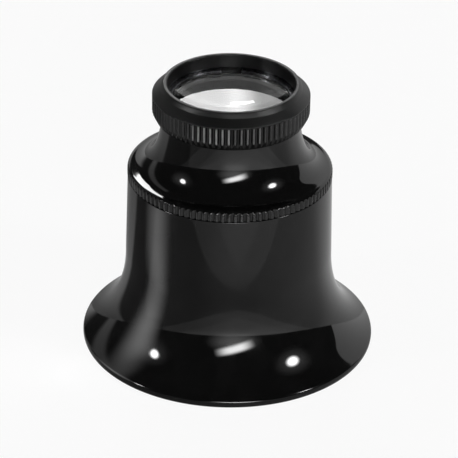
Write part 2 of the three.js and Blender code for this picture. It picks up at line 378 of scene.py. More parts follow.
@dataclass(frozen=True)
class MouldedPlastic(Finish):
    """Black moulding with faint waves and an uneven polish. Wave is their height in metres."""

    name: str = "polished_black_plastic"
    base: float = 0.0022
    hazy: float = 0.004
    roughness: float = 0.04
    haze: float = 0.05
    haze_per_metre: float = 420.0
    haze_detail: float = 4.0
    haze_span: Pair = (0.35, 0.75)
    wave: float = 1.6e-6
    wave_per_metre: float = 95.0
    wave_detail: float = 1.0
    # Worn knurl crests with a painted highlight on the front side, where the piece has a knurl.
    crest_wear_and_highlight: CrestWearAndHighlight | None = None

    def sockets(self, graph: Graph, point: Wire) -> dict[str, Any]:
        """What goes into the shader.

        Args:
            graph: The graph of the material.
            point: The point on the surface, in metres.

        Returns:
            Constants and Wires by socket name.
        """
        haze = graph.noise(point, self.haze_per_metre, self.haze_detail).ramp(*self.haze_span)
        waves = graph.noise(point, self.wave_per_metre, self.wave_detail)
        roughness = self.roughness + haze * self.haze
        if self.crest_wear_and_highlight:
            # Worn crests turn lighter, and lighter still where the painted highlight falls.
            worn_and_lit, face = self.crest_wear_and_highlight.masks(graph, point)
            tone = graph.blend(worn_and_lit, grey(self.base), grey(self.crest_wear_and_highlight.tone))
            roughness = roughness + worn_and_lit * self.crest_wear_and_highlight.roughness + face * self.crest_wear_and_highlight.face_roughness
        else:
            tone = graph.blend(haze, grey(self.base), grey(self.hazy))
        varying = {"Base Color": tone, "Roughness": roughness, "Normal": graph.bump(waves, self.wave)}
        return {"IOR": 1.5, "Metallic": 0.0, **varying}


@dataclass(frozen=True)
class OpticalGlass(Finish):
    """Clear glass with polished faces, a faint film and a finely ground edge. Sizes in millimetres."""

    edge_radius: float
    edge_band: Pair = (0.06, 0.02)
    edge_roughness: float = 0.35
    film: float = 0.012
    film_per_metre: float = 300.0
    film_detail: float = 3.0
    film_span: Pair = (0.45, 0.8)
    tint: Colour = (0.985, 0.99, 0.985, 1.0)

    def sockets(self, graph: Graph, point: Wire) -> dict[str, Any]:
        """What goes into the shader.

        Args:
            graph: The graph of the material.
            point: The point on the surface, in metres.

        Returns:
            Constants and Wires by socket name.
        """
        inner, outer = ((self.edge_radius - gap) * MM for gap in self.edge_band)
        ground = graph.reach(point).ramp(inner, outer) * self.edge_roughness
        film = graph.noise(point, self.film_per_metre, self.film_detail).ramp(*self.film_span)
        constants = {"Base Color": self.tint, "IOR": 1.523, "Transmission Weight": 1.0}
        return {**constants, "Roughness": ground + film * self.film}


@dataclass(frozen=True)
class BlackenedMetal(Finish):
    """Matt blackened brass with turning marks. Mark is their height in metres."""

    name: str = "blackened_brass"
    dark: float = 0.008
    light: float = 0.02
    roughness: float = 0.45
    uneven: float = 0.2
    patch_per_metre: float = 350.0
    patch_detail: float = 3.0
    mark: float = 3e-6
    mark_per_metre: float = 900.0
    mark_scale: Triple = (1.0, 1.0, 12.0)

    def sockets(self, graph: Graph, point: Wire) -> dict[str, Any]:
        """What goes into the shader.

        Args:
            graph: The graph of the material.
            point: The point on the surface, in metres.

        Returns:
            Constants and Wires by socket name.
        """
        patch = graph.noise(point, self.patch_per_metre, self.patch_detail)
        turning = graph.noise(graph.stretched(point, self.mark_scale), self.mark_per_metre)
        return {
            "Metallic": 0.6,
            "Base Color": graph.blend(patch, grey(self.dark), grey(self.light)),
            "Roughness": self.roughness + patch * self.uneven,
            "Normal": graph.bump(turning, self.mark),
        }


@dataclass(frozen=True)
class SpringSteel(Finish):
    """Dark blued spring wire, drawn along its length."""

    name: str = "blued_spring_steel"
    dark: Colour = (0.10, 0.105, 0.115, 1.0)
    light: Colour = (0.2, 0.2, 0.21, 1.0)
    roughness: float = 0.2
    uneven: float = 0.15
    draw_per_metre: float = 1500.0
    draw_scale: Triple = (1.0, 1.0, 10.0)

    def sockets(self, graph: Graph, point: Wire) -> dict[str, Any]:
        """What goes into the shader, by socket name."""
        drawn = graph.noise(graph.stretched(point, self.draw_scale), self.draw_per_metre)
        return {
            "Metallic": 1.0,
            "Base Color": graph.blend(drawn, self.dark, self.light),
            "Roughness": self.roughness + drawn * self.uneven,
        }


@dataclass(frozen=True)
class Bend:
    """A corner of a turned section, in millimetres, and the mesh rows on the straight after it."""

    radius: float
    height: float
    fillet: float = 0.0
    rows: int = 1

    def spot(self) -> Vector:
        """The corner as a vector of radius and height."""
        return Vector((self.radius, self.height))


def bezier(start: Pair, pull_out: Pair, pull_in: Pair, end: Pair, steps: int) -> list[Bend]:
    """Points of a cubic curve, both ends included.

    Args:
        start: First point as (radius, height).
        pull_out: Handle of the first point.
        pull_in: Handle of the last point.
        end: Last point.
        steps: Number of stretches.

    Returns:
        The points as corners without fillets.
    """
    points = [Vector(p) for p in (start, pull_out, pull_in, end)]
    made = []
    for step in range(steps + 1):
        t = step / steps
        weights = ((1 - t) ** 3, 3 * (1 - t) ** 2 * t, 3 * (1 - t) * t * t, t**3)
        spot = sum((w * p for w, p in zip(weights, points)), Vector((0.0, 0.0)))
        made.append(Bend(spot.x, spot.y))
    return made


def ellipse(centre: Pair, half_axes: Pair, angles: Pair, steps: int) -> list[Bend]:
    """Points of an elliptical edge.

    Args:
        centre: Centre as (radius, height).
        half_axes: Half axes away from the turning axis and along it.
        angles: First and last angle in degrees.
        steps: Number of stretches.

    Returns:
        The points as corners without fillets.
    """
    made = []
    for step in range(steps + 1):
        a = math.radians(angles[0] + (angles[1] - angles[0]) * step / steps)
        made.append(Bend(centre[0] + half_axes[0] * math.cos(a), centre[1] + half_axes[1] * math.sin(a)))
    return made


def rounded(before: Bend, corner: Bend, after: Bend) -> list[Vector]:
    """The stations that stand for one corner.

    Args:
        before: The corner before it.
        corner: The corner itself, with its fillet.
        after: The corner after it.

    Returns:
        Points from the straight before the fillet to the straight after it.
    """
    spot = corner.spot()
    if corner.fillet <= 0:
        return [spot]
    back = before.spot() - spot
    ahead = after.spot() - spot
    reach_limit = STRAIGHT_SHARE * min(back.length, ahead.length)
    back.normalize()
    ahead.normalize()
    half = back.angle(ahead) / 2
    if half > NEARLY_STRAIGHT:
        return [spot]
    reach = min(corner.fillet / math.tan(half), reach_limit)
    support = min(reach * (1 + SUPPORT_SHARE), reach_limit * SUPPORT_LIMIT)
    fillet = reach * math.tan(half)
    centre = spot + (back + ahead).normalized() * (fillet / math.sin(half))
    first = spot + back * reach - centre
    last = spot + ahead * reach - centre
    turn = first.angle(last)
    arc = []
    for step in range(FILLET_STEPS + 1):
        t = step / FILLET_STEPS
        ray = (first * math.sin((1 - t) * turn) + last * math.sin(t * turn)) / math.sin(turn)
        arc.append(centre + ray)
    return [spot + back * support, *arc, spot + ahead * support]


def section(bends: Sequence[Bend], closed: bool = True) -> np.ndarray:
    """A turned section with its fillets and rows.

    Args:
        bends: The corners in order.
        closed: Whether the last corner joins the first. An open section ends on the axis.

    Returns:
        An array of (radius, height) in millimetres.
    """
    count = len(bends)
    stations: list[Vector] = []
    for i, bend in enumerate(bends):
        at_end = not closed and i in (0, count - 1)
        before, after = bends[i - 1], bends[(i + 1) % count]
        spots = [bend.spot()] if at_end else rounded(before, bend, after)
        stations += spots
        if bend.rows > 1:
            end = rounded(bend, after, bends[(i + 2) % count])[0]
            stations += [spots[-1].lerp(end, k / bend.rows) for k in range(1, bend.rows)]
    return np.array([(s.x, s.y) for s in stations])


class Relief(Protocol):
    """A pattern cut into a turned surface."""

    def carve(self, radius: np.ndarray, height: np.ndarray, angle: np.ndarray) -> np.ndarray:
        """Returns the radius at each point after the cut."""


@dataclass(frozen=True)
class StraightKnurl:
    """Upright grooves between flat lands, cut into an outside surface. Sizes in millimetres.

    The phase and the column shares are parts of a tooth. The round share is how much of the depth
    goes into the rounding of the edges, and the round gain is how full that rounding is.
    """

    count: int
    radius: float
    depth: float
    low: float
    high: float
    land_share: float
    phase: float = 0.0
    round_share: float = 0.35
    round_gain: float = 0.6
    column_shares: tuple[float, ...] = (0.0, 0.1, 0.2, 0.34, 0.5, 0.66, 0.8, 0.9)

    def columns(self) -> np.ndarray:
        """Angles of the mesh columns, the same in each tooth."""
        teeth = np.arange(self.count)[:, None] + self.phase
        return ((teeth + np.array(self.column_shares)[None]) * FULL_TURN / self.count).ravel()

    def carve(self, radius: np.ndarray, height: np.ndarray, angle: np.ndarray) -> np.ndarray:
        """Cuts the grooves.

        Args:
            radius: Radius of each point in millimetres.
            height: Height of each point in millimetres.
            angle: Angle of each point round the axis.

        Returns:
            The new radius of each point.
        """
        share = (angle * self.count / FULL_TURN - self.phase) % 1.0
        off_land = np.abs(share - np.round(share)) * 2
        slope = np.clip((off_land - self.land_share) / (1 - self.land_share), 0, 1)
        round_over = slope * slope * (1 + self.round_gain * (1 - slope))
        fall = self.round_share * round_over + (1 - self.round_share) * slope
        floor = self.radius - self.depth * fall
        inside = (height > self.low) & (height < self.high) & (radius > self.radius - self.depth)
        return np.where(inside, np.minimum(radius, floor), radius)


@dataclass(frozen=True)
class Screw:
    """Pitch and depth of a thread, in millimetres."""

    pitch: float
    depth: float


CUP_SCREW = Screw(1.0, 0.42)
NECK_SCREW = Screw(0.75, 0.32)
RETAINER_SCREW = Screw(0.5, 0.18)
RETAINER_BORE_SCREW = Screw(0.5, 0.2)


@dataclass(frozen=True)
class ScrewThread:
    """A right-hand helical groove in a plain cylinder. Sizes in millimetres.

    It cuts the points that lie between a little in front of the cylinder and a little behind the
    bottom of the groove, and it runs out towards both ends.
    """

    screw: Screw
    radius: float
    low: float
    high: float
    in_bore: bool = False
    run_out: float = 0.35
    flat_share: float = 0.22
    in_front: float = 0.01
    behind: float = 0.05

    def carve(self, radius: np.ndarray, height: np.ndarray, angle: np.ndarray) -> np.ndarray:
        """Cuts the groove.

        Args:
            radius: Radius of each point in millimetres.
            height: Height of each point in millimetres.
            angle: Angle of each point round the axis.

        Returns:
            The new radius of each point.
        """
        phase = (height / self.screw.pitch - angle / FULL_TURN) % 1.0
        slope = 1 - np.abs(2 * phase - 1)
        wave = np.clip((slope - self.flat_share) / (1 - 2 * self.flat_share), 0, 1)
        from_low = np.clip((height - self.low) / self.run_out, 0, 1)
        from_high = np.clip((self.high - height) / self.run_out, 0, 1)
        fade = from_low * from_high
        inward = 1 if self.in_bore else -1
        into_wall = (radius - self.radius) * inward
        near = (into_wall > -self.in_front) & (into_wall < self.screw.depth + self.behind)
        carved = self.radius + inward * np.maximum(into_wall, self.screw.depth * wave * fade)
        return np.where(near & (fade > 0), carved, radius)


def turned_object(
    name: str,
    profile: np.ndarray,
    columns: np.ndarray,
    reliefs: Sequence[Relief] = (),
    lift: float = 0.0,
    whole_turn: bool = True,
) -> bpy.types.Object:
    """Turns a section about the Z axis.

    Args:
        name: The piece's name.
        profile: (radius, height) stations in millimetres. Stations of radius 0 become poles.
        columns: Angles of the mesh columns.
        reliefs: Patterns cut into the surface.
        lift: Height of the section's zero in millimetres.
        whole_turn: False closes both ends with a flat face, as on a split ring.

    Returns:
        The piece.
    """
    on_axis = max(profile[0, 0], profile[-1, 0]) < POLE_RADIUS
    radius = np.repeat(profile[:, :1], len(columns), axis=1)
    height = np.repeat(profile[:, 1:], len(columns), axis=1)
    angle = np.repeat(columns[None], len(profile), axis=0)
    for relief in reliefs:
        radius = relief.carve(radius, height, angle)
    grid = np.stack([radius * np.cos(angle), radius * np.sin(angle), height + lift], axis=2) * MM
    index = np.arange(radius.size).reshape(radius.shape)
    if on_axis:
        index[0, :] = index[0, 0]
        index[-1, :] = index[-1, 0]
        lower, upper = index[:-1], index[1:]
    else:
        lower, upper = index, np.roll(index, -1, axis=0)
    if whole_turn:
        left = (lower, upper)
        right = (np.roll(lower, -1, axis=1), np.roll(upper, -1, axis=1))
    else:
        left = (lower[:, :-1], upper[:, :-1])
        right = (lower[:, 1:], upper[:, 1:])
    quads = np.stack([left[0], right[0], right[1], left[1]], axis=-1).reshape(-1, 4)
    shifted = np.roll(profile, -1, axis=0)
    area = np.sum(profile[:, 0] * shifted[:, 1] - shifted[:, 0] * profile[:, 1])
    faces = [list(dict.fromkeys(q)) for q in (quads if area > 0 else quads[:, ::-1]).tolist()]
    if not whole_turn:
        ends = [index[:, 0].tolist(), index[::-1, -1].tolist()]
        faces += ends if area > 0 else [e[::-1] for e in ends]
    mesh = bpy.data.meshes.new(name)
    mesh.from_pydata(grid.reshape(-1, 3).tolist(), [], [f for f in faces if len(f) > 2])
    drop_loose_points(mesh)
    mesh.polygons.foreach_set("use_smooth", [True] * len(mesh.polygons))
    made = bpy.data.objects.new(name, mesh)
    bpy.context.scene.collection.objects.link(made)
    return made


def drop_loose_points(mesh: bpy.types.Mesh) -> None:
    """Removes the points of a pole row that no face uses.

    Args:
        mesh: The mesh to clean.
    """
    work = bmesh.new()
    work.from_mesh(mesh)
    loose = [v for v in work.verts if not v.link_faces]
    bmesh.ops.delete(work, geom=loose, context="VERTS")
    work.to_mesh(mesh)
    work.free()


def even_columns(count: int) -> np.ndarray:
    """Evenly spaced angles round a whole turn."""
    return np.arange(count) * FULL_TURN / count


def settle(piece: bpy.types.Object, finish: Finish, body: str, node: str) -> None:
    """Dresses a piece and hangs it on the frame.

    Args:
        piece: The piece.
        finish: What it is made of.
        body: The body that it rides on.
        node: The CAD node that it stands for.
    """
    piece.data.materials.append(finish.material())
    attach(piece, body)
    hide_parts(node)
    LOG.info("%s: %d faces, rides on %s, stands for %s", piece.name, len(piece.data.polygons), body, node)


def low_and_top(node: str) -> Pair:
    """Lowest and highest height of a CAD node, in millimetres."""
    low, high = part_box(node)
    return low.z / MM, high.z / MM


@dataclass(frozen=True)
class Lens:
    """A plano-convex lens with a ground edge. Sizes in millimetres."""

    node: str
    body: str
    radius: float
    edge: float = 0.9
    bevel: float = 0.15
    curvature: float = 20.7
    steps: int = 40
    columns: int = 160

    def drop(self, radius: float) -> float:
        """Drop of the curved side between the axis and a radius."""
        return self.curvature - math.sqrt(self.curvature**2 - radius**2)

    def rise(self, radius: float) -> float:
        """Rise of the curved side from the edge of the lens in to a radius."""
        return self.drop(self.radius) - self.drop(radius)

    def outline(self) -> np.ndarray:
        """The section from the curved pole to the flat pole.

        Returns:
            An array of (radius, height) with the flat side up, at height 0.
        """
        reach = self.radius - self.bevel
        spots = [reach * step / self.steps for step in range(self.steps)]
        return section([
            *[Bend(spot, -self.edge - self.rise(spot)) for spot in spots],
            Bend(reach, -self.edge - self.rise(reach), Edge.GROUND),
            Bend(self.radius, self.bevel - self.edge, Edge.GROUND),
            Bend(self.radius, -self.bevel, Edge.GROUND),
            Bend(reach, 0, Edge.GROUND, rows=12),
            Bend(0, 0),
        ], closed=False)

    def build(self, flat_height: float, flat_up: bool) -> None:
        """Makes the lens and hangs it on its body.

        Args:
            flat_height: Height of the flat side.
            flat_up: Whether the flat side is the upper one.
        """
        outline = self.outline() * (1, 1 if flat_up else -1)
        lens = turned_object(self.node + "_glass", outline, even_columns(self.columns), lift=flat_height)
        finish = OpticalGlass(self.node + "_crown_glass", self.radius)
        settle(lens, finish, self.body, self.node)


@dataclass
class Eyecup:
    """The flared shell that is held in the eye socket. Sizes in millimetres, angles in degrees.

    The rim's edge is part of an ellipse, given by its half axes and its first and last angle.
    """

    rim_radius: float = field(default_factory=lambda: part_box("eyecup")[1].x / MM)
    rim_edge: Pair = (0.23, 0.48)
    rim_angles: Pair = (-90.0, 76.0)
    rim_steps: int = 22
    rim_face: float = 1.2
    flare_lift: float = 1.65
    flare_rim_share: float = 0.52
    flare_waist_share: float = 0.53
    flare_steps: int = 56
    flare_wall: float = 1.55
    waist_height: float = 12.1
    waist_radius: float = 12.62
    top_radius: float = 12.37
    top: float = field(default_factory=lambda: low_and_top("eyecup")[1])
    screw_radius: float = 11.1
    screw_length: float = 4.5
    lead: float = 0.3
    step: float = 0.2
    thread_start: float = 0.2
    columns: int = 288

    def flare(self, rim: Pair, waist_radius: float) -> list[Bend]:
        """The flare from a rim point in to the waist.

        Args:
            rim: Its first point as (radius, height).
            waist_radius: Radius of its last point.

        Returns:
            The points as corners without fillets.
        """
        pull = (rim[0] - waist_radius) * self.flare_rim_share
        return bezier(
            rim,
            (rim[0] - pull, rim[1] + self.flare_lift),
            (waist_radius, self.waist_height * (1 - self.flare_waist_share)),
            (waist_radius, self.waist_height),
            self.flare_steps,
        )

    def outline(self) -> np.ndarray:
        """The whole section of the shell.

        Returns:
            An array of (radius, height).
        """
        edge_radius = self.rim_radius - self.rim_edge[0]
        edge = ellipse((edge_radius, self.rim_edge[1]), self.rim_edge, self.rim_angles, self.rim_steps)
        outside = self.flare((edge[-1].radius, edge[-1].height), self.waist_radius)
        inside = self.flare((edge_radius - self.rim_face, 0.0), self.waist_radius - self.flare_wall)
        floor = self.top - self.screw_length
        return section([
            *edge[:-1],
            *outside[:-1],
            Bend(self.waist_radius, self.waist_height, rows=14),
            Bend(self.top_radius, self.top, Edge.MOULDED),
            Bend(self.screw_radius + self.lead, self.top, Edge.BROKEN),
            Bend(self.screw_radius, self.top - self.lead, rows=56),
            Bend(self.screw_radius, floor, Edge.EASED),
            Bend(self.screw_radius - self.step, floor, Edge.EASED),
            *inside[::-1][:-1],
            Bend(inside[0].radius, inside[0].height, Edge.FULL),
        ])

    def build(self) -> None:
        """Makes the shell and hangs it on its body."""
        low = self.top - self.screw_length + self.thread_start
        thread = ScrewThread(CUP_SCREW, self.screw_radius, low, self.top + self.lead, in_bore=True)
        shell = turned_object("eyecup_shell", self.outline(), even_columns(self.columns), [thread])
        settle(shell, MouldedPlastic(), "eyecup", "eyecup")


@dataclass
class NeckCap:
    """The trumpet-shaped shoulder with its toothed rim, the stop and the rear lens with its ring.

    Sizes in millimetres, angles in degrees. Heights are measured from the seat on the eyecup. The
    rim's edge is part of an ellipse, given by its half axes and its first and last angle.
    """

    rim_radius: float = 12.4
    rim_height: float = 0.87
    rim_edge: Pair = (0.6, 0.42)
    rim_angles: Pair = (0.0, 76.0)
    rim_steps: int = 16
    height: float = 7.66
    neck_radius: float = 8.37
    neck_bore: float = 7.4
    trumpet_lift: float = 0.18
    foot_share: float = 0.67
    neck_share: float = 0.51
    trumpet_steps: int = 48
    screw_radius: float = 11.0
    screw_length: float = 4.0
    skirt_wall: float = 1.1
    lead: float = 0.3
    core_depth: float = 0.55
    ledge: float = 1.2
    ledge_radius: float = 6.6
    ring_screw_length: float = 3.5
    thread_end: float = 0.15
    thread_start: float = 0.1
    overrun: float = 0.2
    stop_thickness: float = 0.3
    stop_hole: float = 5.8
    ring_columns: int = 160
    lens: Lens = Lens("rear_lens", "rear_optic", 7.9)
    retainer_step: float = 0.35
    retainer_height: float = 1.3
    retainer_width: float = 1.4
    retainer_columns: int = 150
    slot_width: float = 1.0
    slot_depth: float = 0.6
    slot_edge: float = 0.35
    slot_clear: float = 0.6
    teeth: int = 104
    tooth_depth: float = 0.26
    tooth_overrun: float = 0.22
    tooth_land_share: float = 0.3
    tooth_column_shares: tuple[float, ...] = (0.0, 0.13, 0.3, 0.5, 0.7, 0.87)
    tooth_foot: float = 0.01
    # Worn tooth crests, with a painted highlight on those that face the front lamps.
    tooth_wear_and_highlight_tone: float = 0.16
    tooth_roughness: float = 0.25
    tooth_lit_sides: tuple[Hill, ...] = (Hill(3.0, 16.0, 34.0, 0.9),)

    def __post_init__(self) -> None:
        """Works out the heights of the seats from the frame and the sizes above."""
        self.seat = low_and_top("neck_cap")[0] + self.screw_length
        self.ledge_top = self.height - self.ring_screw_length - self.stop_thickness - SEAT_GAP
        self.ledge_low = self.ledge_top - self.ledge
        self.pocket_radius = self.lens.radius + LENS_GAP
        self.retainer_bore = self.pocket_radius + self.retainer_step
        self.lens_flat = self.ledge_low - SEAT_GAP - self.lens.rise(self.ledge_radius) - self.lens.edge
        self.retainer_top = self.lens_flat - SEAT_GAP

    def trumpet(self, foot: Bend) -> list[Bend]:
        """The shoulder from the rim's edge up to the top of the neck.

        Args:
            foot: The last point of the rim's edge.

        Returns:
            The points as corners without fillets.
        """
        across = foot.radius - self.neck_radius
        rise = self.height - foot.height
        return bezier(
            (foot.radius, foot.height),
            (foot.radius - across * self.foot_share, foot.height + self.trumpet_lift),
            (self.neck_radius, self.height - rise * self.neck_share),
            (self.neck_radius, self.height),
            self.trumpet_steps,
        )

    def outline(self) -> np.ndarray:
        """The whole section of the cap.

        Returns:
            An array of (radius, height).
        """
        centre = (self.rim_radius - self.rim_edge[0], self.rim_height)
        edge = ellipse(centre, self.rim_edge, self.rim_angles, self.rim_steps)
        pocket_fall = self.lens.drop(self.pocket_radius) - self.lens.drop(self.ledge_radius)
        skirt = self.screw_radius - self.skirt_wall
        return section([
            Bend(self.rim_radius, 0, Edge.BROKEN, rows=3),
            *edge[:-1],
            *self.trumpet(edge[-1])[:-1],
            Bend(self.neck_radius, self.height, Edge.SOFT),
            Bend(self.neck_bore, self.height, Edge.EASED, rows=50),
            Bend(self.neck_bore, self.ledge_top, Edge.EASED),
            Bend(self.ledge_radius, self.ledge_top, Edge.SOFT, rows=4),
            Bend(self.ledge_radius, self.ledge_low, Edge.CUT),
            Bend(self.pocket_radius, self.ledge_low - pocket_fall, Edge.EASED, rows=3),
            Bend(self.pocket_radius, self.retainer_top, Edge.CUT),
            Bend(self.retainer_bore, self.retainer_top, Edge.CUT, rows=24),
            Bend(self.retainer_bore, -self.core_depth, Edge.BLUNT),
            Bend(skirt, -self.core_depth, Edge.ROUND, rows=4),
            Bend(skirt, -self.screw_length, Edge.BLUNT),
            Bend(self.screw_radius - self.lead, -self.screw_length, Edge.EASED),
            Bend(self.screw_radius, self.lead - self.screw_length, rows=50),
            Bend(self.screw_radius, 0, Edge.EASED),
        ])

    def rim(self) -> StraightKnurl:
        """The teeth of the rim."""
        return StraightKnurl(
            count=self.teeth,
            radius=self.rim_radius,
            depth=self.tooth_depth,
            low=-self.tooth_foot,
            high=self.rim_height + self.tooth_overrun,
            land_share=self.tooth_land_share,
            column_shares=self.tooth_column_shares,
        )

    def threads(self) -> list[ScrewThread]:
        """What is cut for the screws.

        Returns:
            The threads on the skirt, in the neck and round the retaining ring.
        """
        outside = (-self.screw_length - self.lead, -self.thread_end)
        neck = (self.ledge_top + self.thread_start, self.height + self.overrun)
        retainer = (-self.core_depth - self.overrun, self.retainer_top - self.thread_start)
        return [
            ScrewThread(CUP_SCREW, self.screw_radius, *outside),
            ScrewThread(NECK_SCREW, self.neck_bore, *neck, in_bore=True),
            ScrewThread(RETAINER_BORE_SCREW, self.retainer_bore, *retainer, in_bore=True),
        ]

    def build_shell(self) -> None:
        """Makes the cap itself."""
        rim = self.rim()
        reliefs = [rim, *self.threads()]
        shell = turned_object("neck_cap_shell", self.outline(), rim.columns(), reliefs, self.seat)
        # The teeth's crests are worn and carry a painted highlight where they face the front lamps.
        crest_wear_and_highlight = CrestWearAndHighlight(
            radius=self.rim_radius,
            top=self.seat + self.rim_height,
            tone=self.tooth_wear_and_highlight_tone,
            roughness=self.tooth_roughness,
            lit_sides=self.tooth_lit_sides,
        )
        finish = MouldedPlastic("polished_black_cap", crest_wear_and_highlight=crest_wear_and_highlight)
        settle(shell, finish, "neck_cap", "neck_cap")

    def build_stop(self) -> None:
        """Makes the thin diaphragm between the lenses, with its knife edge."""
        low = self.ledge_top + SEAT_GAP
        top = low + self.stop_thickness
        outer = self.neck_bore - LENS_GAP
        knife = self.stop_hole + self.stop_thickness
        outline = section([
            Bend(outer, low, Edge.CUT),
            Bend(outer, top, Edge.CUT),
            Bend(knife, top, Edge.GROUND),
            Bend(self.stop_hole, (low + top) / 2, Edge.KNIFE),
            Bend(knife, low, Edge.GROUND),
        ])
        columns = even_columns(self.ring_columns)
        stop = turned_object("aperture_stop_ring", outline, columns, lift=self.seat)
        settle(stop, BlackenedMetal("blackened_stop"), "neck_cap", "aperture_stop")

    def build_retainer(self) -> None:
        """Makes the slotted threaded ring that holds the rear lens up."""
        outer = self.retainer_bore - LENS_GAP
        inner = outer - self.retainer_width
        low = self.retainer_top - self.retainer_height
        outline = section([
            Bend(outer, low, Edge.TURNED, rows=26),
            Bend(outer, self.retainer_top, Edge.SOFT),
            Bend(inner, self.retainer_top, Edge.SOFT, rows=3),
            Bend(inner, low, Edge.TURNED, rows=4),
        ])
        ends = (low - self.thread_start, self.retainer_top + self.thread_start)
        thread = ScrewThread(RETAINER_SCREW, outer, *ends)
        half_slot = math.asin(self.slot_width / 2 / (outer - self.retainer_width / 2))
        columns = self.slotted_columns(half_slot)
        ring = turned_object("rear_retaining_ring_body", outline, columns, [thread], self.seat)
        floor = (self.seat + low + self.slot_depth) * MM
        for vertex in ring.data.vertices:
            angle = math.atan2(vertex.co.y, vertex.co.x) % math.pi
            if abs(angle - math.pi / 2) < half_slot:
                vertex.co.z = max(vertex.co.z, floor)
        settle(ring, BlackenedMetal(), "neck_cap", "rear_retaining_ring")

    def slotted_columns(self, half_slot: float) -> np.ndarray:
        """Angles of the retaining ring's columns, with a close pair on each side of each slot.

        Args:
            half_slot: Half the angle that a slot takes.

        Returns:
            The angles in order.
        """
        edge, clear = math.radians(self.slot_edge), math.radians(self.slot_clear)
        pairs = [
            middle + side * (half_slot + shift)
            for middle in (math.pi / 2, 3 * math.pi / 2)
            for side in (-1, 1)
            for shift in (-edge, edge)
        ]
        even = even_columns(self.retainer_columns)
        return np.array(sorted([*[a for a in even if all(abs(a - s) > clear for s in pairs)], *pairs]))

    def build(self) -> None:
        """Makes every piece that the cap carries."""
        self.build_shell()
        self.build_stop()
        self.lens.build(self.seat + self.lens_flat, flat_up=False)
        self.build_retainer()


